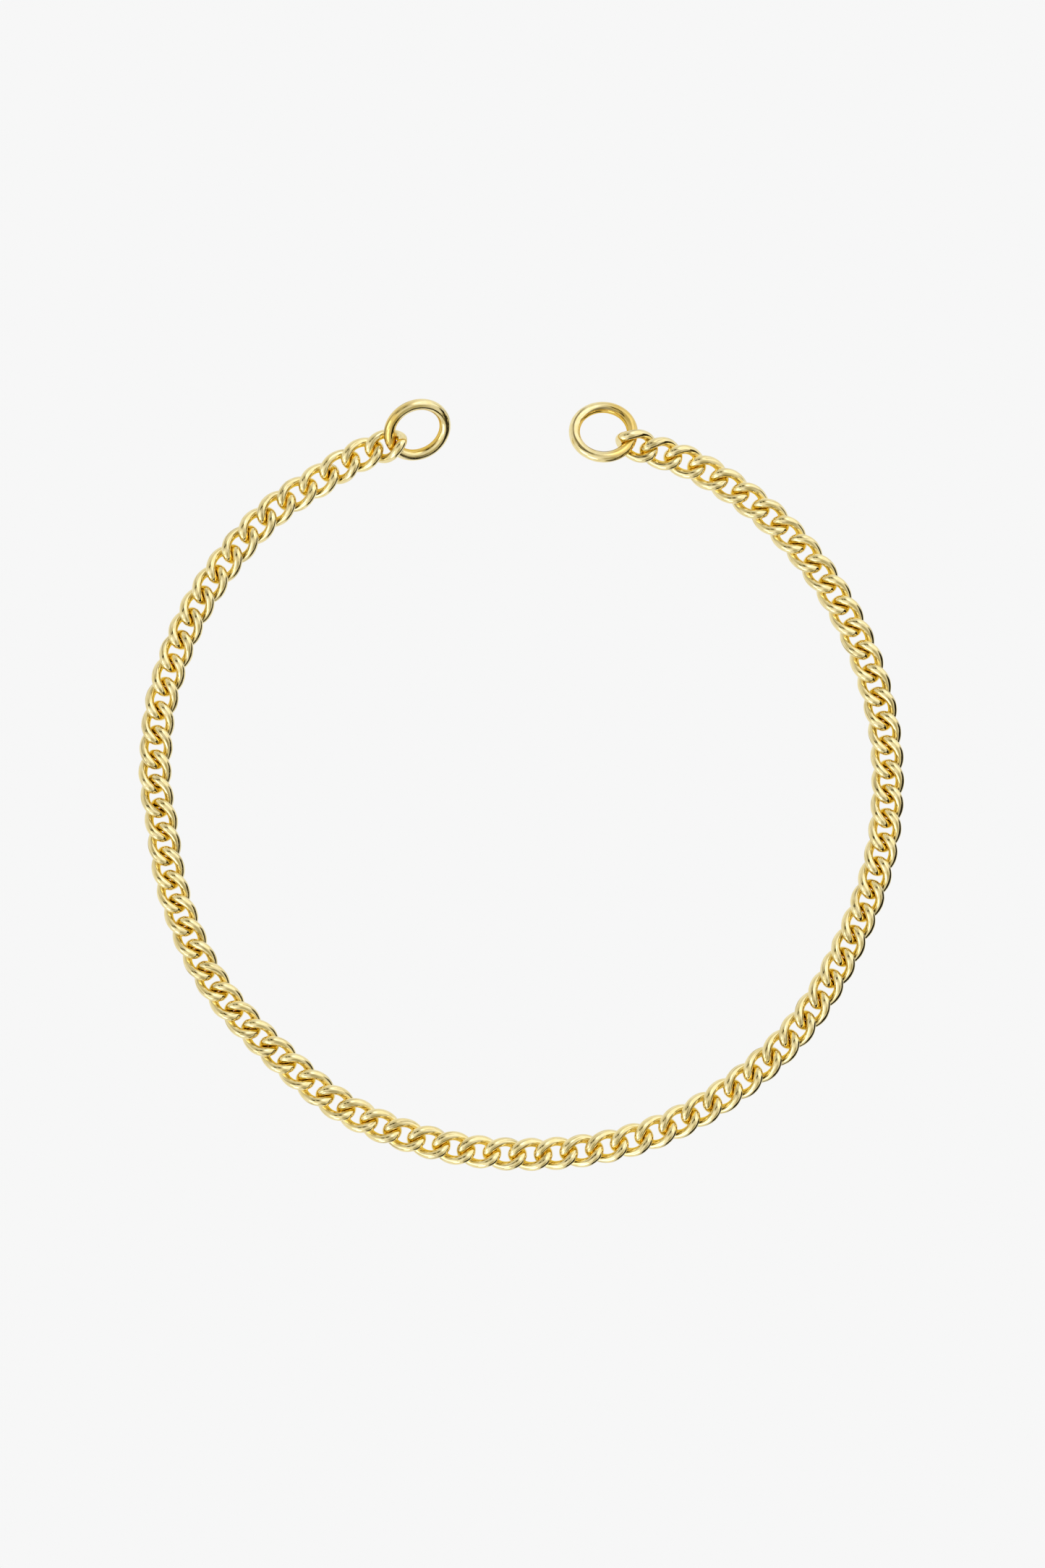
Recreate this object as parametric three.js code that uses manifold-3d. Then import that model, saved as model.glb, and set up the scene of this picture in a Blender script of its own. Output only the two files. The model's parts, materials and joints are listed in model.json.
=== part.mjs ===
// A curb chain collar, laid flat in its round shape: twisted oval links of round wire, and a plain round
// ring at each end for a clasp, a charm or a ribbon. +Z is up and +Y points to the two rings. Links are
// numbered from the left ring, anticlockwise, to the right ring.

import * as THREE from 'three';
import Module from 'manifold-3d';
import { mergeVertices } from 'three/addons/utils/BufferGeometryUtils.js';

// ---- Driving dimensions: millimetres and degrees ----

const link = {
  count: 83,
  wire: 1.6, // wire diameter
  length: 8.1, // outside, along the chain
  width: 6.05, // outside, across the chain
  squareness: 2.2, // exponent of the oval; 2 is an ellipse
  twist: 48, // how far each end of the oval is turned about the chain's line
  steps: 14, // around the oval
  sides: 6, // around the wire
};

const ring = {
  wire: 1.95,
  meanRadius: 5.325,
  steps: 24,
  sides: 8,
};

// Links in separate solids. The other links are joined to a neighbour, so that the chain has no more
// than this many pieces; the joined pairs are spread evenly along it.
const pieceCount = 58;
const beadRadius = 0.6; // of the small bead that joins the two links of a pair where they touch

// The chain's line on the table, anticlockwise from the left ring to the right one, as [angle, radius].
// Between two points the radius eases from one to the next.
const routePoints = [
  [111.5, 67.4], [122, 67.5], [134, 68.3], [150, 68.3], [166, 68.1], [177, 67.5], [187, 66.5],
  [198, 66.9], [211, 67.2], [227, 66.5], [243, 67.4], [268, 67.4], [291, 67.9], [314, 67.4],
  [336, 66.5], [354, 67.0], [372, 67.3], [405, 67.3], [419, 67.0], [431.6, 66.1],
];
const routeSteps = 4000;
const spread = 0.028; // share by which links lie further apart at the front and near the rings
const sway = { amount: 1.0, pace: 2.4 }; // small turns left and right from link to link
const roll = { amount: 1.6, pace: 1.7 }; // small turns about the chain's line

// The links that the rings lift off the table, by link number: their middle, the direction that they
// head in, how steeply they climb, and their roll.
const raisedLinks = {
  1: { middle: [-24.91, 62.47, 3.99], heading: 198.7, climb: -14.6, roll: 5.5 },
  2: { middle: [-29.28, 60.93, 3.17], heading: 203.7, climb: -5.1, roll: 0.5 },
  3: { middle: [-33.39, 58.72, 2.48], heading: 208.5, climb: -10.5, roll: -3.0 },
  4: { middle: [-37.28, 56.31, 1.84], heading: 213.2, climb: -2.0, roll: 0.8 },
  80: { middle: [34.06, 57.65, 1.79], heading: 151.1, climb: 0.5, roll: -3.6 },
  81: { middle: [29.85, 59.77, 2.13], heading: 159.4, climb: 8.2, roll: -9.1 },
  82: { middle: [25.43, 61.25, 2.93], heading: 165.2, climb: 11.1, roll: -16.1 },
  83: { middle: [20.98, 62.67, 3.90], heading: 158.8, climb: 12.0, roll: -20.5 },
};

const rings = {
  ring_left: { middle: [-19.24, 65.39, 4.36], facing: [0.301, -0.560, 0.772] },
  ring_right: { middle: [14.85, 65.05, 3.40], facing: [0.029, 0.455, 0.890] },
};

// ---- Shapes ----

const toRadians = THREE.MathUtils.degToRad;

// The middle line of one link: an oval in the XY plane, twisted about X so that one end leans one way
// and the other end the other way. The next link passes through each end.
class LinkCurve extends THREE.Curve {
  getPoint(t, target = new THREE.Vector3()) {
    const angle = 2 * Math.PI * t;
    const halfLength = (link.length - link.wire) / 2;
    const halfWidth = (link.width - link.wire) / 2;
    const along = roundedPower(Math.cos(angle));
    const across = halfWidth * roundedPower(Math.sin(angle));
    const lean = -toRadians(link.twist) * along;
    return target.set(halfLength * along, across * Math.cos(lean), across * Math.sin(lean));
  }
}

function roundedPower(value) {
  return Math.sign(value) * Math.abs(value) ** (2 / link.squareness);
}

const linkCurve = new LinkCurve();

function linkGeometry() {
  return new THREE.TubeGeometry(linkCurve, link.steps, link.wire / 2, link.sides, true);
}

function ringGeometry() {
  return new THREE.TorusGeometry(ring.meanRadius, ring.wire / 2, ring.sides, ring.steps);
}

// ---- Where the links lie ----

function radiusAt(angle) {
  let next = 1;
  while (next < routePoints.length - 1 && angle > routePoints[next][0]) {
    next += 1;
  }
  const [startAngle, startRadius] = routePoints[next - 1];
  const [endAngle, endRadius] = routePoints[next];
  const share = (angle - startAngle) / (endAngle - startAngle);
  return startRadius + (endRadius - startRadius) * share * share * (3 - 2 * share);
}

function routeAt(angle) {
  const radius = radiusAt(angle);
  const turn = toRadians(angle);
  return new THREE.Vector3(radius * Math.cos(turn), radius * Math.sin(turn), 0);
}

// The angle of every link on the route. Neighbours are about one pitch apart along it.
function linkAngles() {
  const first = routePoints[0][0];
  const last = routePoints[routePoints.length - 1][0];
  const angles = [first];
  const lengths = [0];
  for (let step = 1; step <= routeSteps; step += 1) {
    angles.push(first + (last - first) * step / routeSteps);
    lengths.push(lengths[step - 1] + routeAt(angles[step]).distanceTo(routeAt(angles[step - 1])));
  }
  const places = [0];
  for (let gap = 0; gap < link.count - 1; gap += 1) {
    const cycle = 4 * Math.PI * (gap + 0.5) / (link.count - 1);
    places.push(places[gap] + 1 + spread * Math.cos(cycle));
  }
  const scale = lengths[routeSteps] / places[link.count - 1];
  let step = 1;
  return places.map((place) => {
    while (step < routeSteps && lengths[step] < place * scale) {
      step += 1;
    }
    const share = (place * scale - lengths[step - 1]) / (lengths[step] - lengths[step - 1]);
    return angles[step - 1] + (angles[step] - angles[step - 1]) * share;
  });
}

function turned(heading, climb, rollAngle) {
  const angles = new THREE.Euler(toRadians(rollAngle), -toRadians(climb), toRadians(heading), 'ZYX');
  return new THREE.Quaternion().setFromEuler(angles);
}

// A link that lies on the table touches it with its lowest point.
function restingHeight(quaternion) {
  const lowest = Math.min(...linkCurve.getPoints(72).map((p) => p.applyQuaternion(quaternion).z));
  return link.wire / 2 - lowest;
}

function linkPose(number, angle) {
  const raised = raisedLinks[number];
  if (raised) {
    return new THREE.Matrix4().compose(
      new THREE.Vector3(...raised.middle),
      turned(raised.heading, raised.climb, raised.roll),
      new THREE.Vector3(1, 1, 1),
    );
  }
  const ahead = routeAt(angle + 0.5).sub(routeAt(angle - 0.5));
  const heading = THREE.MathUtils.radToDeg(Math.atan2(ahead.y, ahead.x));
  const quaternion = turned(
    heading + sway.amount * Math.sin(sway.pace * number),
    0,
    roll.amount * Math.sin(roll.pace * number),
  );
  const middle = routeAt(angle);
  middle.z = restingHeight(quaternion);
  return new THREE.Matrix4().compose(middle, quaternion, new THREE.Vector3(1, 1, 1));
}

// ---- Joined pairs ----

const wasm = await Module();
wasm.setup();

function toSolid(geometry) {
  geometry.deleteAttribute('normal');
  geometry.deleteAttribute('uv');
  const merged = mergeVertices(geometry);
  return new wasm.Manifold(new wasm.Mesh({
    numProp: 3,
    vertProperties: new Float32Array(merged.attributes.position.array),
    triVerts: new Uint32Array(merged.index.array),
  }));
}

function toGeometry(solid) {
  const mesh = solid.getMesh();
  const geometry = new THREE.BufferGeometry();
  geometry.setAttribute('position', new THREE.BufferAttribute(mesh.vertProperties, 3));
  geometry.setIndex(new THREE.BufferAttribute(mesh.triVerts, 1));
  geometry.computeVertexNormals();
  return geometry;
}

// The middle of the narrowest gap between a link and its neighbour, whose pose is given in its frame.
function contactPoint(neighbourPose) {
  const own = linkCurve.getPoints(120);
  const other = linkCurve.getPoints(120).map((p) => p.applyMatrix4(neighbourPose));
  let best = { distance: Infinity, middle: null };
  for (const p of own) {
    for (const q of other) {
      const distance = p.distanceTo(q);
      if (distance < best.distance) {
        best = { distance, middle: p.clone().lerp(q, 0.5) };
      }
    }
  }
  return best.middle;
}

function pairGeometry(firstPose, secondPose) {
  const relative = firstPose.clone().invert().multiply(secondPose);
  const contact = contactPoint(relative);
  const bead = new THREE.OctahedronGeometry(beadRadius);
  bead.translate(contact.x, contact.y, contact.z);
  const second = linkGeometry().applyMatrix4(relative);
  return toGeometry(toSolid(linkGeometry()).add(toSolid(second)).add(toSolid(bead)));
}

// ---- The necklace ----

function goldPiece(name, geometry, pose) {
  const gold = new THREE.MeshStandardMaterial({ color: '#e3c56b', roughness: 0.15, metalness: 1 });
  const mesh = new THREE.Mesh(geometry, gold);
  mesh.name = name;
  pose.decompose(mesh.position, mesh.quaternion, mesh.scale);
  return mesh;
}

function twoDigits(number) {
  return String(number).padStart(2, '0');
}

function chainPieces() {
  const poses = linkAngles().map((angle, index) => linkPose(index + 1, angle));
  const pairCount = link.count - pieceCount;
  const pieces = [];
  for (let piece = 0; piece < pieceCount; piece += 1) {
    const first = Math.floor((piece * link.count + pairCount) / pieceCount);
    const next = Math.floor(((piece + 1) * link.count + pairCount) / pieceCount);
    const name = twoDigits(first + 1);
    if (next - first === 2) {
      const geometry = pairGeometry(poses[first], poses[first + 1]);
      pieces.push(goldPiece(`links_${name}_${twoDigits(first + 2)}`, geometry, poses[first]));
    } else {
      pieces.push(goldPiece(`link_${name}`, linkGeometry(), poses[first]));
    }
  }
  return pieces;
}

function ringPiece(name) {
  const { middle, facing } = rings[name];
  const up = new THREE.Vector3(0, 0, 1);
  const tilt = new THREE.Quaternion().setFromUnitVectors(up, new THREE.Vector3(...facing).normalize());
  const pose = new THREE.Matrix4().compose(new THREE.Vector3(...middle), tilt, new THREE.Vector3(1, 1, 1));
  return goldPiece(name, ringGeometry(), pose);
}

const necklace = new THREE.Group();
necklace.add(...chainPieces());
necklace.add(...Object.keys(rings).map(ringPiece));

// The origin is under the middle of the whole shape, on the table.
const extent = new THREE.Box3().setFromObject(necklace, true);
const centre = extent.getCenter(new THREE.Vector3());
necklace.position.set(-centre.x, -centre.y, -extent.min.z);

export default necklace;
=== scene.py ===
"""A gold-plated curb chain collar with a plain ring at each end, built around its packed CAD frame."""

import json
import math

import bpy
from mathutils import Euler, Matrix, Vector


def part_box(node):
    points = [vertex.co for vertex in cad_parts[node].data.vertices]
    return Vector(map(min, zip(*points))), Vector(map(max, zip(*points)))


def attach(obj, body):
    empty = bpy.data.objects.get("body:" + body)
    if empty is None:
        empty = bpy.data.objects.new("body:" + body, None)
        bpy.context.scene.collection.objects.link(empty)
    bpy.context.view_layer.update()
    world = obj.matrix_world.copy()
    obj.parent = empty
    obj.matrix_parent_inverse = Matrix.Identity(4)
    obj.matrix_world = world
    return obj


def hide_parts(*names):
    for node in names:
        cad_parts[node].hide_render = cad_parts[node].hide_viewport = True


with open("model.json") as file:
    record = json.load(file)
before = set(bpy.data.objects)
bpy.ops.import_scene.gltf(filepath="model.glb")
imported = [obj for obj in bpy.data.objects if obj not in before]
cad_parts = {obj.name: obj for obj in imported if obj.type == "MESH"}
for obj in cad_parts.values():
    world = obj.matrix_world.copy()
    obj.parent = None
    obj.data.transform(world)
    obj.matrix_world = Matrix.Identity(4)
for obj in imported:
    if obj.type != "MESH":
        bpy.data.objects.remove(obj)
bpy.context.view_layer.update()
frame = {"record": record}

bl_info = {
    "name": "Curb Chain Collar",
    "version": (1, 0, 0),
    "blender": (4, 5, 0),
    "location": "3D View > Sidebar > Collar",
    "description": "Builds a plated curb chain collar with an end ring on each side",
    "category": "Object",
}

MM = 0.001
LOOP_TREE = "Wire loops"

# ---- Where the links lie: the CAD model's own rules, in millimetres and degrees ----

LINK_COUNT = 83

# The chain's line, anticlockwise from the left ring to the right one, as (angle, radius). Between two
# points the radius eases from one to the next.
ROUTE_POINTS = [
    (111.5, 67.4), (122, 67.5), (134, 68.3), (150, 68.3), (166, 68.1), (177, 67.5), (187, 66.5),
    (198, 66.9), (211, 67.2), (227, 66.5), (243, 67.4), (268, 67.4), (291, 67.9), (314, 67.4),
    (336, 66.5), (354, 67.0), (372, 67.3), (405, 67.3), (419, 67.0), (431.6, 66.1),
]
ROUTE_STEPS = 4000
HEADING_REACH = 0.5  # how far ahead and back a link looks for its heading
OVAL_STEPS = 72  # points on a link's middle line, among which its lowest is found
SPREAD = 0.028  # share by which links lie further apart at the front and near the rings
SWAY, SWAY_PACE = 1.0, 2.4  # small turns left and right from link to link
ROLL, ROLL_PACE = 1.6, 1.7  # small turns about the chain's line

# The links that the rings lift off the table, by number: middle, heading, climb and roll.
RAISED_LINKS = {
    1: ((-24.91, 62.47, 3.99), 198.7, -14.6, 5.5),
    2: ((-29.28, 60.93, 3.17), 203.7, -5.1, 0.5),
    3: ((-33.39, 58.72, 2.48), 208.5, -10.5, -3.0),
    4: ((-37.28, 56.31, 1.84), 213.2, -2.0, 0.8),
    80: ((34.06, 57.65, 1.79), 151.1, 0.5, -3.6),
    81: ((29.85, 59.77, 2.13), 159.4, 8.2, -9.1),
    82: ((25.43, 61.25, 2.93), 165.2, 11.1, -16.1),
    83: ((20.98, 62.67, 3.90), 158.8, 12.0, -20.5),
}

# Each ring's middle and the direction that its flat side faces.
RINGS = {
    "ring_left": ((-19.24, 65.39, 4.36), (0.301, -0.560, 0.772)),
    "ring_right": ((14.85, 65.05, 3.40), (0.029, 0.455, 0.890)),
}


def radius_at(angle):
    upper = 1
    while upper < len(ROUTE_POINTS) - 1 and angle > ROUTE_POINTS[upper][0]:
        upper += 1
    start_angle, start_radius = ROUTE_POINTS[upper - 1]
    end_angle, end_radius = ROUTE_POINTS[upper]
    share = (angle - start_angle) / (end_angle - start_angle)
    return start_radius + (end_radius - start_radius) * share * share * (3 - 2 * share)


def route_at(angle):
    turn = math.radians(angle)
    return radius_at(angle) * Vector((math.cos(turn), math.sin(turn), 0))


def link_angles():
    """The angle of every link on the route. Neighbours are about one pitch apart along it."""
    first, last = ROUTE_POINTS[0][0], ROUTE_POINTS[-1][0]
    angles = [first + (last - first) * step / ROUTE_STEPS for step in range(ROUTE_STEPS + 1)]
    points = [route_at(angle) for angle in angles]
    lengths = [0.0]
    for here, ahead in zip(points, points[1:]):
        lengths.append(lengths[-1] + (ahead - here).length)
    places = [0.0]
    for gap in range(LINK_COUNT - 1):
        cycle = 4 * math.pi * (gap + 0.5) / (LINK_COUNT - 1)
        places.append(places[-1] + 1 + SPREAD * math.cos(cycle))
    scale = lengths[-1] / places[-1]
    found, step = [], 1
    for place in places:
        while step < ROUTE_STEPS and lengths[step] < place * scale:
            step += 1
        share = (place * scale - lengths[step - 1]) / (lengths[step] - lengths[step - 1])
        found.append(angles[step - 1] + (angles[step] - angles[step - 1]) * share)
    return found


def turned(heading, climb, roll):
    angles = (math.radians(roll), -math.radians(climb), math.radians(heading))
    return Euler(angles, "XYZ").to_quaternion()


def rounded_power(value, squareness):
    return math.copysign(abs(value) ** (2 / squareness), value)


def link_middle_line(sizes):
    """Points along the middle of the wire of one link, in metres, in the link's own frame."""
    half_length, half_width = (sizes.length - sizes.wire) / 2, (sizes.width - sizes.wire) / 2
    points = []
    for step in range(OVAL_STEPS):
        turn = 2 * math.pi * step / OVAL_STEPS
        along = rounded_power(math.cos(turn), sizes.squareness)
        across = half_width * rounded_power(math.sin(turn), sizes.squareness)
        lean = -sizes.twist * along
        points.append(Vector((half_length * along, across * math.cos(lean), across * math.sin(lean))))
    return points


def link_places(sizes):
    """Each link's middle and rotation, in metres, before the frame's origin is taken into account."""
    middle_line = link_middle_line(sizes)
    places = []
    for number, angle in enumerate(link_angles(), start=1):
        if number in RAISED_LINKS:
            middle, heading, climb, roll = RAISED_LINKS[number]
            places.append((Vector(middle) * MM, turned(heading, climb, roll)))
            continue
        ahead = route_at(angle + HEADING_REACH) - route_at(angle - HEADING_REACH)
        heading = math.degrees(math.atan2(ahead.y, ahead.x)) + SWAY * math.sin(SWAY_PACE * number)
        turn = turned(heading, 0, ROLL * math.sin(ROLL_PACE * number))
        middle = route_at(angle) * MM
        middle.z = sizes.wire / 2 - min((turn @ point).z for point in middle_line)
        places.append((middle, turn))
    return places


def frame_shift():
    """How far the packed frame's origin is from that of the rules above: a ring's box has its middle."""
    low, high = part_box("ring_right")
    return (low + high) / 2 - Vector(RINGS["ring_right"][0]) * MM


# ---- Colours ----


def to_linear(hex_colour):
    """An sRGB colour such as "#e3c56b" as linear red, green and blue."""
    values = [int(hex_colour[start:start + 2], 16) / 255 for start in (1, 3, 5)]
    return [v / 12.92 if v <= 0.04045 else ((v + 0.055) / 1.055) ** 2.4 for v in values]


# ---- Sizes and finishes that a user may change ----


class LinkSizes(bpy.types.PropertyGroup):
    """Sizes of one twisted oval link"""

    wire: bpy.props.FloatProperty(
        name="Wire", description="Diameter of the links' wire", default=1.76 * MM, unit="LENGTH")
    length: bpy.props.FloatProperty(
        name="Length", description="Outside length of a link along the chain",
        default=8.21 * MM, unit="LENGTH")
    width: bpy.props.FloatProperty(
        name="Width", description="Outside width of a link across the chain",
        default=6.21 * MM, unit="LENGTH")
    squareness: bpy.props.FloatProperty(
        name="Squareness", description="Exponent of the oval, where 2 is an ellipse", default=2.2)
    twist: bpy.props.FloatProperty(
        name="Twist", description="How far each end of a link is turned about the chain's line",
        default=math.radians(48), subtype="ANGLE")
    swell: bpy.props.FloatProperty(
        name="Swell",
        description="Share by which the wire is thicker at a link's ends and thinner at its sides",
        default=0.06, subtype="FACTOR")
    steps: bpy.props.IntProperty(name="Steps", description="Faces along the wire", default=72)
    sides: bpy.props.IntProperty(name="Sides", description="Faces around the wire", default=20)


class RingSizes(bpy.types.PropertyGroup):
    """Sizes of an end ring"""

    wire: bpy.props.FloatProperty(
        name="Wire", description="Diameter of the ring's wire", default=2.05 * MM, unit="LENGTH")
    across: bpy.props.FloatProperty(
        name="Across", description="Outside diameter of a ring", default=12.7 * MM, unit="LENGTH")
    steps: bpy.props.IntProperty(name="Steps", description="Faces along the wire", default=144)
    sides: bpy.props.IntProperty(name="Sides", description="Faces around the wire", default=32)


class GoldFinish(bpy.types.PropertyGroup):
    """Colours of the plating and of the painted amber reflection and shade in the holes"""

    gold: bpy.props.FloatVectorProperty(
        name="Gold", description="Colour of the plating", subtype="COLOR", size=3,
        min=0, max=1, default=to_linear("#f7e8b4"))
    deep_gold: bpy.props.FloatVectorProperty(
        name="Deep gold", description="Colour where the plating is thicker", subtype="COLOR", size=3,
        min=0, max=1, default=to_linear("#f3e1a4"))
    paste: bpy.props.FloatVectorProperty(
        name="Paste", description="Colour of the polishing paste left in the deepest lines",
        subtype="COLOR", size=3, min=0, max=1, default=to_linear("#6a5420"))
    # Painted amber on the sides that face a link's hole: painted reflection of the neighbouring gold and
    # painted shade in the hole.
    painted_hole_colour: bpy.props.FloatVectorProperty(
        name="Painted hole colour", description="Colour of the sides that face the hole of a link",
        subtype="COLOR", size=3, min=0, max=1, default=to_linear("#efcd42"))
    # The same painted amber reflection and shade, on the sides that face a ring's hole.
    ring_painted_hole_colour: bpy.props.FloatVectorProperty(
        name="Ring painted hole colour", description="Colour of the sides that face the hole of a ring",
        subtype="COLOR", size=3, min=0, max=1, default=to_linear("#e3ba3a"))


class Studio(bpy.types.PropertyGroup):
    """Floor, light and camera"""

    floor: bpy.props.FloatVectorProperty(
        name="Floor", description="Colour that the lit floor shows", subtype="COLOR", size=3,
        min=0, max=1, default=to_linear("#f7f7f7"))
    lens: bpy.props.FloatProperty(
        name="Lens", description="Focal length of the camera", default=100, unit="CAMERA")


# ---- Nodes ----


def output_of(node):
    """The first output of a node that is in use."""
    return next(socket for socket in node.outputs if socket.enabled)


def add_node(tree, kind, *values, **settings):
    """Adds a node with its settings. Each value goes to the next input that is in use: a node's first
    output or a socket is linked, None leaves the input as it is, and anything else is its value."""
    node = tree.nodes.new(kind)
    for name, setting in settings.items():
        setattr(node, name, setting)
    inputs = [socket for socket in node.inputs if socket.enabled]
    for socket, value in zip(inputs, values):
        if isinstance(value, bpy.types.Node):
            value = output_of(value)
        if isinstance(value, bpy.types.NodeSocket):
            tree.links.new(value, socket)
        elif value is not None:
            socket.default_value = value
    return node


def wire_loop_tree():
    """Geometry nodes: a closed loop of round wire, an oval that may be twisted, on every point."""
    tree = bpy.data.node_groups.new(LOOP_TREE, "GeometryNodeTree")
    sockets = [
        ("Points", "NodeSocketGeometry"), ("Wire", "NodeSocketFloat"), ("Length", "NodeSocketFloat"),
        ("Width", "NodeSocketFloat"), ("Squareness", "NodeSocketFloat"), ("Twist", "NodeSocketFloat"),
        ("Swell", "NodeSocketFloat"), ("Steps", "NodeSocketInt"), ("Sides", "NodeSocketInt"),
        ("Material", "NodeSocketMaterial"),
    ]
    for name, kind in sockets:
        tree.interface.new_socket(name, in_out="INPUT", socket_type=kind)
    tree.interface.new_socket("Geometry", in_out="OUTPUT", socket_type="NodeSocketGeometry")
    given = add_node(tree, "NodeGroupInput").outputs
    wire, steps = given["Wire"], given["Steps"]

    # The middle line of the wire.
    place = add_node(tree, "GeometryNodeInputIndex")
    step_angle = add_node(tree, "ShaderNodeMath", math.tau, steps, operation="DIVIDE")
    angle = add_node(tree, "ShaderNodeMath", place, step_angle, operation="MULTIPLY")
    power = add_node(tree, "ShaderNodeMath", 2.0, given["Squareness"], operation="DIVIDE")
    shares = []
    for operation, whole in (("COSINE", given["Length"]), ("SINE", given["Width"])):
        wave = add_node(tree, "ShaderNodeMath", angle, operation=operation)
        size = add_node(tree, "ShaderNodeMath", wave, operation="ABSOLUTE")
        rounded = add_node(tree, "ShaderNodeMath", size, power, operation="POWER")
        sign = add_node(tree, "ShaderNodeMath", wave, operation="SIGN")
        share = add_node(tree, "ShaderNodeMath", rounded, sign, operation="MULTIPLY")
        between = add_node(tree, "ShaderNodeMath", whole, wire, operation="SUBTRACT")
        half = add_node(tree, "ShaderNodeMath", between, 0.5, operation="MULTIPLY")
        shares.append((share, add_node(tree, "ShaderNodeMath", share, half, operation="MULTIPLY")))
    (along_share, along), (_, across) = shares
    oval = add_node(tree, "ShaderNodeCombineXYZ", along, across)
    back = add_node(tree, "ShaderNodeMath", along_share, -1.0, operation="MULTIPLY")
    lean = add_node(tree, "ShaderNodeMath", back, given["Twist"], operation="MULTIPLY")
    line = add_node(tree, "ShaderNodeVectorRotate", oval, None, lean, rotation_type="X_AXIS")
    circle = add_node(tree, "GeometryNodeCurvePrimitiveCircle", steps)
    rail = add_node(tree, "GeometryNodeSetPosition", circle, None, line)

    # How far each point is along the wire, there and back so that it has no jump, and around it.
    parameter = add_node(tree, "GeometryNodeSplineParameter")
    total = add_node(tree, "GeometryNodeSplineLength")
    rest = add_node(
        tree, "ShaderNodeMath", total, parameter.outputs["Length"], operation="SUBTRACT")
    nearest = add_node(
        tree, "ShaderNodeMath", parameter.outputs["Length"], rest, operation="MINIMUM")
    rail = add_node(
        tree, "GeometryNodeStoreNamedAttribute", rail, None, "along", nearest,
        data_type="FLOAT", domain="POINT")
    radius = add_node(tree, "ShaderNodeMath", wire, 0.5, operation="MULTIPLY")
    profile = add_node(tree, "GeometryNodeCurvePrimitiveCircle", given["Sides"])
    tree.links.new(radius.outputs[0], profile.inputs["Radius"])
    around = add_node(tree, "GeometryNodeInputPosition")
    profile = add_node(
        tree, "GeometryNodeStoreNamedAttribute", profile, None, "around", around,
        data_type="FLOAT_VECTOR", domain="POINT")
    # The ends carry the load and are a little thicker than the sides.
    squared = add_node(tree, "ShaderNodeMath", along_share, along_share, operation="MULTIPLY")
    balance = add_node(tree, "ShaderNodeMath", squared, 2.0, -1.0, operation="MULTIPLY_ADD")
    thickness = add_node(
        tree, "ShaderNodeMath", balance, given["Swell"], 1.0, operation="MULTIPLY_ADD")
    loop = add_node(tree, "GeometryNodeCurveToMesh", rail, profile)
    tree.links.new(thickness.outputs[0], loop.inputs["Scale"])

    # How squarely each point faces the hole in the middle of the loop; the materials paint amber
    # reflection and shade by it.
    outward = add_node(tree, "GeometryNodeInputPosition")
    outward = add_node(tree, "ShaderNodeVectorMath", outward, operation="NORMALIZE")
    facing = add_node(tree, "GeometryNodeInputNormal")
    facing = add_node(tree, "ShaderNodeVectorMath", outward, facing, operation="DOT_PRODUCT")
    facing = add_node(
        tree, "ShaderNodeMath", facing.outputs["Value"], -1.0, operation="MULTIPLY")
    loop = add_node(
        tree, "GeometryNodeStoreNamedAttribute", loop, None, "facing_hole", facing,
        data_type="FLOAT", domain="POINT")

    # One loop on every point, turned as the point says. Each has its own piece of the wire's pattern.
    turn = add_node(tree, "GeometryNodeInputNamedAttribute", "turn", data_type="QUATERNION")
    loops = add_node(tree, "GeometryNodeInstanceOnPoints", given["Points"])
    tree.links.new(loop.outputs[0], loops.inputs["Instance"])
    tree.links.new(turn.outputs[0], loops.inputs["Rotation"])
    number = add_node(tree, "GeometryNodeInputNamedAttribute", "number", data_type="INT")
    shift = add_node(tree, "FunctionNodeRandomValue", data_type="FLOAT")
    for name, value in (("Min", 0.0), ("Max", 1.0), ("Seed", PATTERN_SEED)):
        next(s for s in shift.inputs if s.name == name and s.enabled).default_value = value
    tree.links.new(number.outputs[0], shift.inputs["ID"])
    loops = add_node(
        tree, "GeometryNodeStoreNamedAttribute", loops, None, "pattern_shift", shift,
        data_type="FLOAT", domain="INSTANCE")
    whole = add_node(tree, "GeometryNodeRealizeInstances", loops)
    smooth = add_node(tree, "GeometryNodeSetShadeSmooth", whole)
    finished = add_node(tree, "GeometryNodeSetMaterial", smooth, None, given["Material"])
    add_node(tree, "NodeGroupOutput", finished)
    return tree


def wire_loops(name, tree, places, numbers, sizes):
    """A plain mesh with one wire loop for each (middle, rotation) of places."""
    mesh = bpy.data.meshes.new(name)
    mesh.from_pydata([middle for middle, _ in places], [], [])
    turns = mesh.attributes.new("turn", "QUATERNION", "POINT")
    turns.data.foreach_set("value", [part for _, turn in places for part in turn])
    mesh.attributes.new("number", "INT", "POINT").data.foreach_set("value", numbers)
    piece = bpy.data.objects.new(name, mesh)
    bpy.context.scene.collection.objects.link(piece)
    modifier = piece.modifiers.new(LOOP_TREE, "NODES")
    modifier.node_group = tree
    for socket in tree.interface.items_tree:
        if socket.in_out == "INPUT" and socket.name in sizes:
            modifier[socket.identifier] = sizes[socket.name]
    evaluated = piece.evaluated_get(bpy.context.evaluated_depsgraph_get())
    made = bpy.data.meshes.new_from_object(evaluated)
    if not made.polygons:
        raise RuntimeError(f"{name} has no faces")
    made.name = name
    for unused in ("turn", "number"):
        made.attributes.remove(made.attributes[unused])
    piece.modifiers.clear()
    piece.data = made
    return piece


# ---- Materials ----

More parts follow.
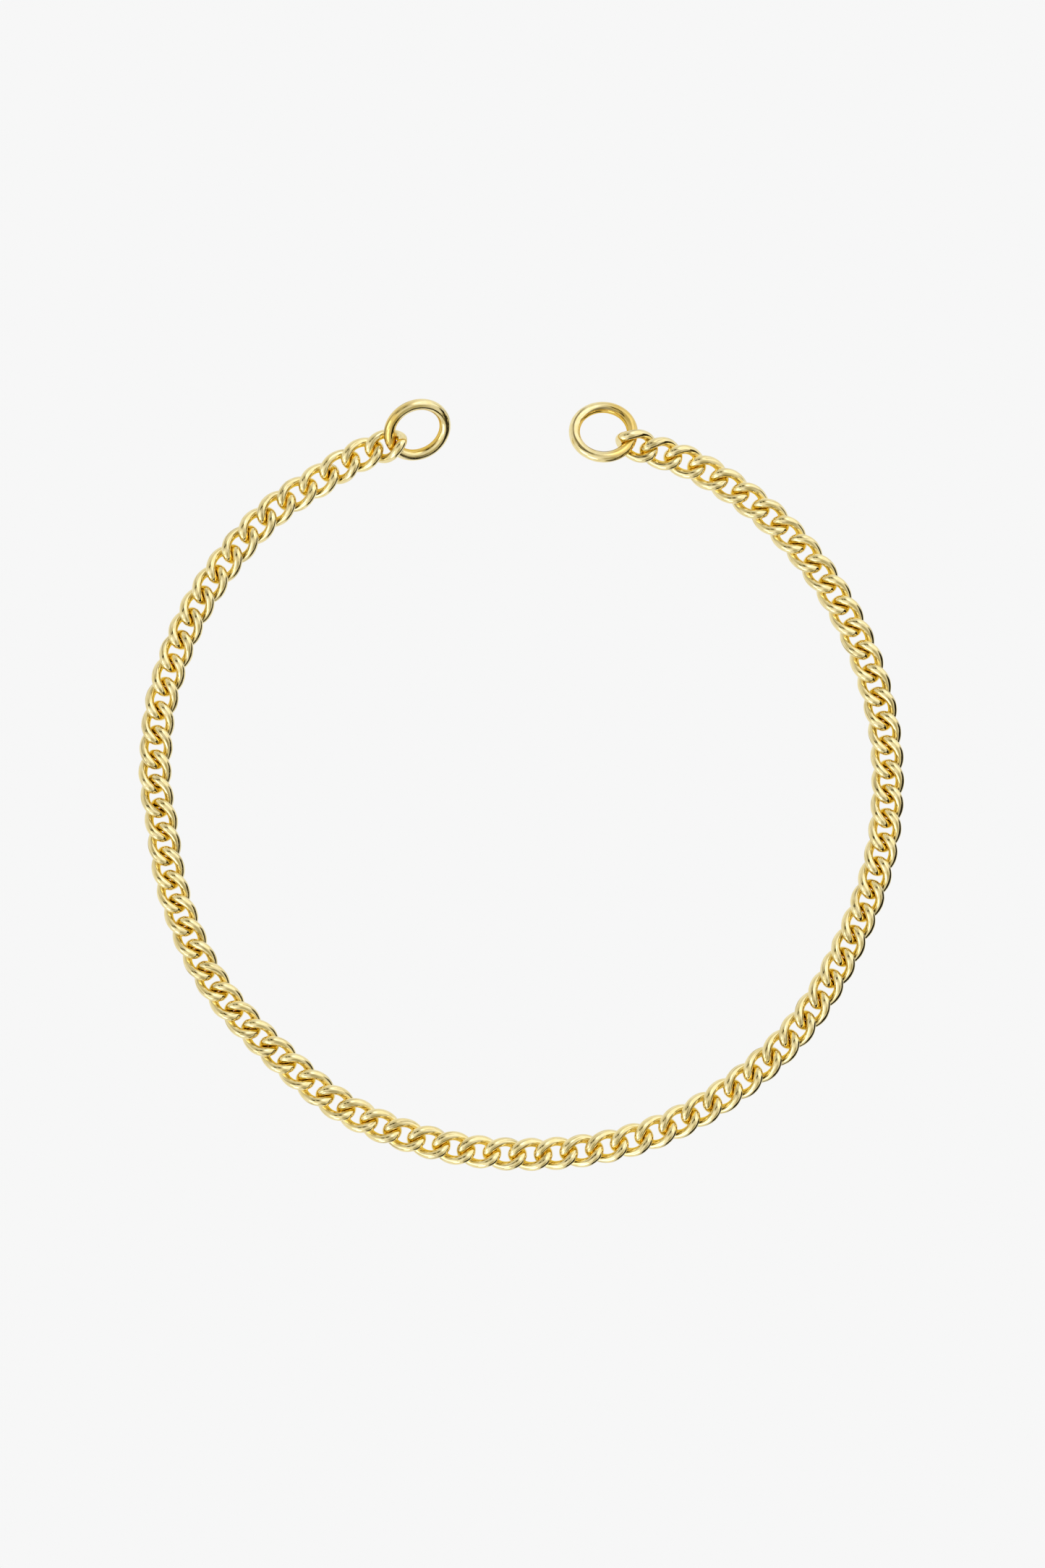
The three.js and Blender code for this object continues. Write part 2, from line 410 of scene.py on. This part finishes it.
# How each kind of wire is finished. Spacing and depth are in millimetres; the rest are shares and
# roughness from 0 to 1.
LINK_FINISH = {
    "line_spacing": 0.3,  # real drawing lines are closer, and would not show
    "line_depth": 0.012,
    "paste": 0.5,  # share of dark paste in the deepest lines
    "bath": 0.0,  # depth of colour in the patches that the bath leaves
    "painted_hole_from": 0.2,  # how squarely a side faces the hole where the painted amber reflection and shade start
    "inner": 0.9,  # strength of the painted amber reflection and shade where it faces the hole most squarely
    "roughness": (0.04, 0.10),
}
RING_FINISH = {
    "line_spacing": 0.5, "line_depth": 0.06, "paste": 0.7, "bath": 0.6, "painted_hole_from": 0.45,
    "inner": 0.8, "roughness": (0.06, 0.15),
}
PAINTED_HOLE_FADE = 0.6  # over how much more facing the painted amber reflection and shade come in
PATTERN_SEED = 7
PATTERN_REACH = 50.0  # how far apart, at most, two links lie in the wire's pattern, in millimetres
RIPPLE_WIDTH, RIPPLE_DEPTH = 1.0, 0.008  # of the uneven places that tumbling leaves, in millimetres
BATH_WIDTH = 4.0  # of the patches that the bath leaves, in millimetres
DRAWN_OUT = (1, 1, 0.06)  # the drawing lines run along the wire
BROAD = (1, 1, 0.35)  # and the bath's patches are longer than wide
# The levels of noise between which the polish, the tone, the bath's patches and the paste run.
POLISH_LEVELS, TONE_LEVELS = (0.3, 0.7), (0.35, 0.65)
BATH_LEVELS, PASTE_LEVELS = (0.52, 0.66), (0.56, 0.66)


def plated_gold(name, colours, painted_hole_colour, finish):
    """Brass wire, drawn, tumbled and electroplated with pale yellow gold, then polished like a mirror.
    To the eye it is bare metal: its colour is in the reflections, pale where they are bright and amber
    where one strand reflects another; on the sides that face a hole that amber and the shade there are
    also painted into the colour and the tint of the reflections. Drawing leaves faint lines along the
    wire, and tumbling leaves it slightly uneven."""
    material = bpy.data.materials.new(name)
    material.use_nodes = True
    tree = material.node_tree
    tree.nodes.clear()

    # The place on the wire. Every link and ring has its own part of the pattern.
    along = add_node(tree, "ShaderNodeAttribute", attribute_name="along")
    around = add_node(tree, "ShaderNodeAttribute", attribute_name="around")
    shift = add_node(tree, "ShaderNodeAttribute", attribute_name="pattern_shift")
    reach = add_node(tree, "ShaderNodeCombineXYZ", None, None, along.outputs["Fac"])
    place = add_node(
        tree, "ShaderNodeVectorMath", around.outputs["Vector"], reach, operation="ADD")
    own = add_node(
        tree, "ShaderNodeMath", shift.outputs["Fac"], PATTERN_REACH * MM, operation="MULTIPLY")
    place = add_node(tree, "ShaderNodeVectorMath", place, own, operation="ADD")

    drawn = add_node(tree, "ShaderNodeMapping", place, None, None, DRAWN_OUT)
    lines = add_node(
        tree, "ShaderNodeTexNoise", drawn, 1 / (finish["line_spacing"] * MM), 2.0, 0.5,
        noise_dimensions="3D")
    ripples = add_node(
        tree, "ShaderNodeTexNoise", place, 1 / (RIPPLE_WIDTH * MM), 1.0, 0.5, noise_dimensions="3D")
    ripple_bump = add_node(tree, "ShaderNodeBump", 1.0, RIPPLE_DEPTH * MM, None, ripples)
    line_bump = add_node(tree, "ShaderNodeBump", 1.0, finish["line_depth"] * MM, None, lines)
    tree.links.new(ripple_bump.outputs[0], line_bump.inputs["Normal"])
    polish = add_node(tree, "ShaderNodeMapRange", lines, *POLISH_LEVELS, *finish["roughness"])

    tone = add_node(tree, "ShaderNodeMapRange", ripples, *TONE_LEVELS, 0.0, 1.0)
    colour = add_node(
        tree, "ShaderNodeMix", tone, (*colours.gold, 1), (*colours.deep_gold, 1), data_type="RGBA")
    # The bath leaves broad patches where the plating takes the amber of the painted reflection and shade
    # on the inner sides.
    broad = add_node(tree, "ShaderNodeMapping", place, None, None, BROAD)
    bath = add_node(
        tree, "ShaderNodeTexNoise", broad, 1 / (BATH_WIDTH * MM), 1.0, 0.5, noise_dimensions="3D")
    bath = add_node(
        tree, "ShaderNodeMapRange", bath, *BATH_LEVELS, 0.0, finish["bath"],
        interpolation_type="SMOOTHSTEP")
    colour = add_node(tree, "ShaderNodeMix", bath, colour, (*painted_hole_colour, 1), data_type="RGBA")
    # The deepest lines hold a trace of dark polishing paste.
    paste = add_node(
        tree, "ShaderNodeMapRange", lines, *PASTE_LEVELS, 0.0, finish["paste"],
        interpolation_type="SMOOTHSTEP")
    colour = add_node(tree, "ShaderNodeMix", paste, colour, (*colours.paste, 1), data_type="RGBA")
    # The sides that face the hole get a deeper amber colour and amber-tinted reflections: painted
    # reflection of the neighbouring gold and painted shade in the hole.
    hole = add_node(tree, "ShaderNodeAttribute", attribute_name="facing_hole").outputs["Fac"]
    inner = add_node(
        tree, "ShaderNodeMapRange", hole, finish["painted_hole_from"], finish["painted_hole_from"] + PAINTED_HOLE_FADE, 0.0,
        finish["inner"], interpolation_type="SMOOTHSTEP")
    colour = add_node(tree, "ShaderNodeMix", inner, colour, (*painted_hole_colour, 1), data_type="RGBA")
    tint = add_node(tree, "ShaderNodeMix", inner, (1, 1, 1, 1), (*painted_hole_colour, 1), data_type="RGBA")

    shader = add_node(tree, "ShaderNodeBsdfPrincipled")
    shader.inputs["Metallic"].default_value = 1.0
    for node, socket in (
            (colour, "Base Color"), (tint, "Specular Tint"), (polish, "Roughness"),
            (line_bump, "Normal")):
        tree.links.new(output_of(node), shader.inputs[socket])
    add_node(tree, "ShaderNodeOutputMaterial", shader)
    return material


# The floor is a hand's width down, so that the chain can hang below the table's level when its joints
# turn.
FLOOR_HALF_SIZE, FLOOR_DROP = 3.0, 0.09
FLOOR_EDGE = (0.17, 0.23)  # metres from its middle to where it ends on the dark side of the room
# What the floor sends to the camera, what it sends to the metal, and what the unlit room sends there.
FLOOR_SHOWN, FLOOR_REFLECTED, ROOM_REFLECTED = 1.0, 0.98, 0.015


def lit_floor(colour):
    """Opal acrylic sheet, lit from below: an even pale glow that shows hardly any shadow. Its back is
    clear, so that it hides nothing from a camera under it."""
    material = bpy.data.materials.new("Lit opal acrylic sheet")
    material.use_nodes = True
    tree = material.node_tree
    tree.nodes.clear()
    path = add_node(tree, "ShaderNodeLightPath")
    # On the dark side of the room the metal mirrors the sheet's edge and the unlit room beyond it.
    place = add_node(tree, "ShaderNodeTexCoord").outputs["Object"]
    flat = add_node(tree, "ShaderNodeVectorMath", place, (1, 1, 0), operation="MULTIPLY")
    reach = add_node(tree, "ShaderNodeVectorMath", flat, operation="LENGTH")
    beyond = add_node(tree, "ShaderNodeMapRange", reach.outputs["Value"], *FLOOR_EDGE, 0.0, 1.0)
    dark = add_node(tree, "ShaderNodeMath", beyond, dark_side(tree, place), operation="MULTIPLY")
    mirrored = add_node(
        tree, "ShaderNodeMapRange", dark, 0.0, 1.0, FLOOR_REFLECTED, ROOM_REFLECTED)
    strength = add_node(
        tree, "ShaderNodeMapRange", path.outputs["Is Camera Ray"], 0.0, 1.0, mirrored, FLOOR_SHOWN)
    glow = add_node(tree, "ShaderNodeEmission", (*colour, 1), strength)
    clear = add_node(tree, "ShaderNodeBsdfTransparent")
    side = add_node(tree, "ShaderNodeNewGeometry")
    mix = add_node(tree, "ShaderNodeMixShader", side.outputs["Backfacing"], glow, clear)
    add_node(tree, "ShaderNodeOutputMaterial", mix)
    return material


# ---- Studio light ----


def direction(azimuth, elevation):
    """The unit vector towards a compass direction, in degrees from +X anticlockwise, and a height."""
    turn, rise = math.radians(azimuth), math.radians(elevation)
    return (math.cos(turn) * math.cos(rise), math.sin(turn) * math.cos(rise), math.sin(rise))


# What the dome of light has besides its even level: (azimuth, elevation, radius, soft edge, added light).
DOME_PATCHES = [
    (42, 32, 36, 16, 0.40),  # a large soft box behind on the right
    (216, 40, 34, 30, 0.20),  # another in front on the left
    (240, 20, 14, 4, 1.4),  # a bare lamp under it
    (206, 30, 12, 4, 1.1),  # and a smaller one beside that
    (62, 50, 11, 4, 0.7),  # a lamp on the other side
    (298, 44, 20, 14, -0.30),  # an unlit corner of the ceiling
    (135, 54, 26, 16, -0.22),  # the camera's stand
    (118, 60, 9, 3, -0.7),  # the camera
    (155, 50, 8, 3, -0.7),  # the clamp of a lamp
]
DOME_LEVEL, DARKEST_LEVEL = 0.78, 0.01
# The side of the room that is unlit near the horizon: the azimuth of its middle, its half width and its
# soft edge. Then how high it reaches, and the soft edge of that, in heights on the unit dome.
DARK_SIDE = (-35, 45, 8)
DARK_SIDE_TOP, DARK_SIDE_TOP_EDGE = math.sin(math.radians(16)), 0.04
# The colour of the room at each level of light: its darker parts are warmer.
ROOM_COLOURS = [
    (0.0, (0.0, 0.0, 0.0)), (0.19, (0.19, 0.14, 0.05)), (0.31, (0.31, 0.255, 0.10)),
    (0.44, (0.44, 0.40, 0.25)), (0.56, (0.56, 0.53, 0.41)), (0.69, (0.69, 0.665, 0.60)),
    (1.0, (1.0, 1.0, 1.0)),
]


def dark_side(tree, place):
    """How far a place, or a direction, is on the dark side of the room: 0 to 1."""
    azimuth, half_width, soft = DARK_SIDE
    flat = add_node(tree, "ShaderNodeVectorMath", place, (1, 1, 0), operation="MULTIPLY")
    flat = add_node(tree, "ShaderNodeVectorMath", flat, operation="NORMALIZE")
    facing = add_node(
        tree, "ShaderNodeVectorMath", flat, direction(azimuth, 0), operation="DOT_PRODUCT")
    outer = math.cos(math.radians(half_width + soft))
    inner = math.cos(math.radians(half_width - soft))
    return add_node(
        tree, "ShaderNodeMapRange", facing.outputs["Value"], outer, inner, 0.0, 1.0,
        interpolation_type="SMOOTHSTEP")


def studio_dome(background):
    """The light around the collar. The camera itself sees an even background."""
    world = bpy.data.worlds.new("Studio dome")
    bpy.context.scene.world = world
    world.use_nodes = True
    tree = world.node_tree
    tree.nodes.clear()
    look = add_node(tree, "ShaderNodeTexCoord").outputs["Generated"]
    level = DOME_LEVEL
    for azimuth, elevation, radius, soft, change in DOME_PATCHES:
        near = add_node(
            tree, "ShaderNodeVectorMath", look, direction(azimuth, elevation),
            operation="DOT_PRODUCT")
        edge = math.cos(math.radians(radius + soft / 2))
        core = math.cos(math.radians(max(radius - soft / 2, 0)))
        patch = add_node(
            tree, "ShaderNodeMapRange", near.outputs["Value"], edge, core, 0.0, change,
            interpolation_type="SMOOTHSTEP")
        level = add_node(tree, "ShaderNodeMath", level, patch, operation="ADD")
    height = add_node(tree, "ShaderNodeSeparateXYZ", look).outputs["Z"]
    low = add_node(
        tree, "ShaderNodeMapRange", height, DARK_SIDE_TOP + DARK_SIDE_TOP_EDGE,
        DARK_SIDE_TOP - DARK_SIDE_TOP_EDGE, 0.0, 1.0)
    dark = add_node(tree, "ShaderNodeMath", low, dark_side(tree, look), operation="MULTIPLY")
    level = add_node(tree, "ShaderNodeMath", level, dark, operation="SUBTRACT")
    level = add_node(tree, "ShaderNodeMath", level, DARKEST_LEVEL, operation="MAXIMUM")
    colour = add_node(tree, "ShaderNodeValToRGB", level)
    ramp = colour.color_ramp
    while len(ramp.elements) < len(ROOM_COLOURS):
        ramp.elements.new(0.5)
    for element, (position, tint) in zip(ramp.elements, ROOM_COLOURS):
        element.position = position
        element.color = (*tint, 1)
    strength = add_node(tree, "ShaderNodeMath", level, 1.0, operation="MAXIMUM")
    dome = add_node(tree, "ShaderNodeBackground", colour, strength)
    plain = add_node(tree, "ShaderNodeBackground", (*background, 1), 1.0)
    path = add_node(tree, "ShaderNodeLightPath")
    both = add_node(tree, "ShaderNodeMixShader", path.outputs["Is Camera Ray"], dome, plain)
    add_node(tree, "ShaderNodeOutputWorld", both)


# ---- Camera ----

SENSOR = 36  # millimetres
FRAMED_HEIGHT, FRAMED_MIDDLE = 287.7, (0.2, 0.4, 2.2)  # of what the camera frames, in millimetres
CLIP = (0.01, 20)  # how near and how far the camera sees, in metres


# ---- Operators ----


def finish_piece(piece, body, node):
    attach(piece, body)
    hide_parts(node)


class COLLAR_OT_links(bpy.types.Operator):
    """Build every chain link as a closed loop of twisted wire, one piece for each body of the frame"""

    bl_idname = "collar.links"
    bl_label = "Chain Links"
    bl_options = {"REGISTER", "UNDO"}

    def execute(self, context):
        sizes, colours = context.scene.collar_links, context.scene.collar_gold
        tree = bpy.data.node_groups.get(LOOP_TREE) or wire_loop_tree()
        gold = plated_gold(
            "Gold-plated brass chain wire", colours, colours.painted_hole_colour, LINK_FINISH)
        inputs = {
            "Wire": sizes.wire, "Length": sizes.length, "Width": sizes.width,
            "Squareness": sizes.squareness, "Twist": sizes.twist, "Swell": sizes.swell,
            "Steps": sizes.steps, "Sides": sizes.sides, "Material": gold,
        }
        shift = frame_shift()
        places = [(middle + shift, turn) for middle, turn in link_places(sizes)]
        for body, nodes in frame["record"]["behaviour"]["bodies"].items():
            if not body.startswith("link"):
                continue
            numbers = [int(part) for part in body.split("_")[1:]]
            own = [places[number - 1] for number in numbers]
            piece = wire_loops(f"curb_{body}", tree, own, numbers, inputs)
            finish_piece(piece, body, nodes[0])
        return {"FINISHED"}


class COLLAR_OT_rings(bpy.types.Operator):
    """Build the two plain end rings of thicker round wire"""

    bl_idname = "collar.rings"
    bl_label = "End Rings"
    bl_options = {"REGISTER", "UNDO"}

    def execute(self, context):
        sizes, colours = context.scene.collar_rings, context.scene.collar_gold
        tree = bpy.data.node_groups.get(LOOP_TREE) or wire_loop_tree()
        gold = plated_gold(
            "Gold-plated brass ring wire", colours, colours.ring_painted_hole_colour, RING_FINISH)
        inputs = {
            "Wire": sizes.wire, "Length": sizes.across, "Width": sizes.across, "Squareness": 2.0,
            "Twist": 0.0, "Swell": 0.0, "Steps": sizes.steps, "Sides": sizes.sides, "Material": gold,
        }
        for number, (body, (middle, facing)) in enumerate(RINGS.items(), start=LINK_COUNT + 1):
            turn = Vector((0, 0, 1)).rotation_difference(Vector(facing))
            place = (Vector(middle) * MM + frame_shift(), turn)
            piece = wire_loops(f"end_{body}", tree, [place], [number], inputs)
            finish_piece(piece, body, body)
        return {"FINISHED"}


class COLLAR_OT_stage(bpy.types.Operator):
    """Set up the pale floor, the dome of soft light and the camera straight above"""

    bl_idname = "collar.stage"
    bl_label = "Floor, Light and Camera"
    bl_options = {"REGISTER", "UNDO"}

    def execute(self, context):
        scene = context.scene
        studio = scene.collar_studio
        half, level = FLOOR_HALF_SIZE, -FLOOR_DROP
        corners = [
            (-half, -half, level), (half, -half, level), (half, half, level), (-half, half, level)]
        mesh = bpy.data.meshes.new("floor")
        mesh.from_pydata(corners, [], [(0, 1, 2, 3)])
        mesh.materials.append(lit_floor(studio.floor))
        floor = bpy.data.objects.new("floor", mesh)
        scene.collection.objects.link(floor)
        studio_dome(studio.floor)

        camera = bpy.data.objects.new("camera", bpy.data.cameras.new("camera"))
        scene.collection.objects.link(camera)
        scene.camera = camera
        camera.data.sensor_width = SENSOR
        camera.data.lens = studio.lens
        distance = FRAMED_HEIGHT * MM * studio.lens / SENSOR
        camera.matrix_world = Matrix.Translation(Vector(FRAMED_MIDDLE) * MM + Vector((0, 0, distance)))
        camera.data.clip_start, camera.data.clip_end = CLIP
        scene.view_settings.view_transform = "Standard"
        return {"FINISHED"}


class COLLAR_PT_panel(bpy.types.Panel):
    """Sizes, finishes and steps of the collar"""

    bl_label = "Curb Chain Collar"
    bl_idname = "COLLAR_PT_panel"
    bl_space_type = "VIEW_3D"
    bl_region_type = "UI"
    bl_category = "Collar"

    def draw(self, context):
        layout = self.layout
        for group in GROUPS:
            box = layout.box()
            box.label(text=GROUPS[group].__doc__)
            settings = getattr(context.scene, group)
            for name in settings.__annotations__:
                box.prop(settings, name)
        for operator in (COLLAR_OT_links, COLLAR_OT_rings, COLLAR_OT_stage):
            layout.operator(operator.bl_idname)


GROUPS = {
    "collar_links": LinkSizes,
    "collar_rings": RingSizes,
    "collar_gold": GoldFinish,
    "collar_studio": Studio,
}
CLASSES = [*GROUPS.values(), COLLAR_OT_links, COLLAR_OT_rings, COLLAR_OT_stage, COLLAR_PT_panel]


def register():
    for kind in CLASSES:
        bpy.utils.register_class(kind)
    for name, group in GROUPS.items():
        setattr(bpy.types.Scene, name, bpy.props.PointerProperty(type=group))


def unregister():
    for name in GROUPS:
        delattr(bpy.types.Scene, name)
    for kind in reversed(CLASSES):
        bpy.utils.unregister_class(kind)


def main():
    register()
    bpy.ops.collar.links()
    bpy.ops.collar.rings()
    bpy.ops.collar.stage()


if __name__ == "__main__":
    main()
